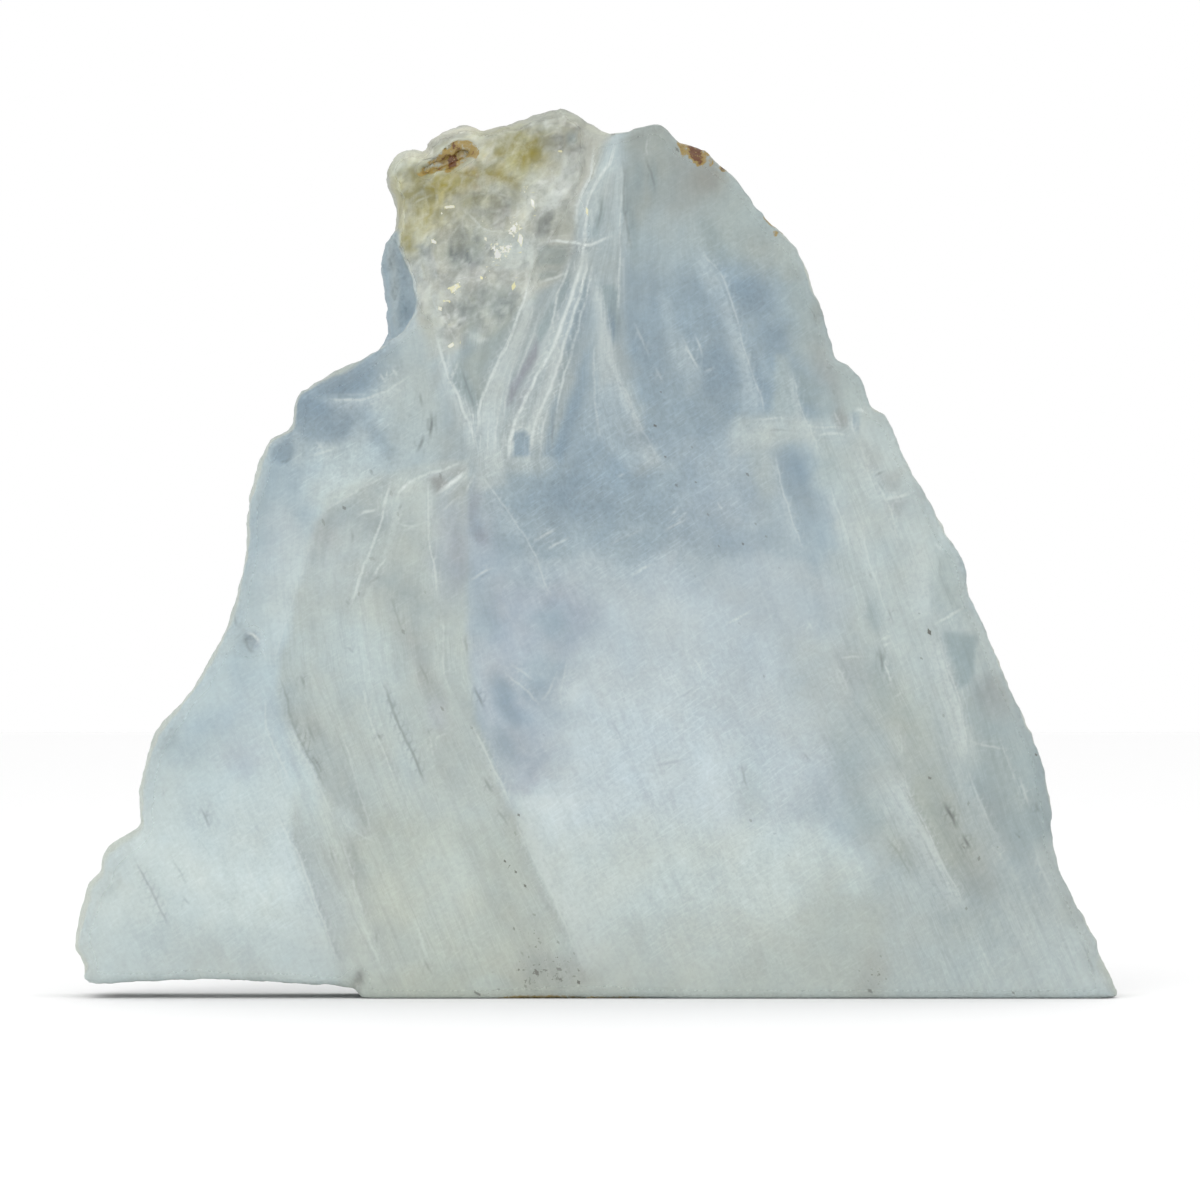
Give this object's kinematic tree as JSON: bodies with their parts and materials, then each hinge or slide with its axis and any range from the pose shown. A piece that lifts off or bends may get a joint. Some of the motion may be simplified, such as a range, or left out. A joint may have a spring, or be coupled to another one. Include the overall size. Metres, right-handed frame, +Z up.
{
  "type": "selenite slab",
  "caption": "Free-standing slab of clear to milky selenite with two polished faces, a natural crystal edge, a stained broken crest and a level sawn foot, shown as a mineral specimen.",
  "frame": {"origin": "centre of the slab's footprint on the surface it stands on", "axes": "+X along the slab's width, to the viewer's right when facing the front; +Y from the front face through to the back face; +Z up"},
  "size_m": [0.313, 0.03, 0.2668],
  "materials": {
    "selenite": "polished gypsum crystal, cloudy white to blue-grey with white healed fractures; natural edge rough and satin; yellow-green and brown iron stain at the crest"
  },
  "bodies": {
    "root": {"selenite_slab": "selenite"}
  },
  "joints": []
}
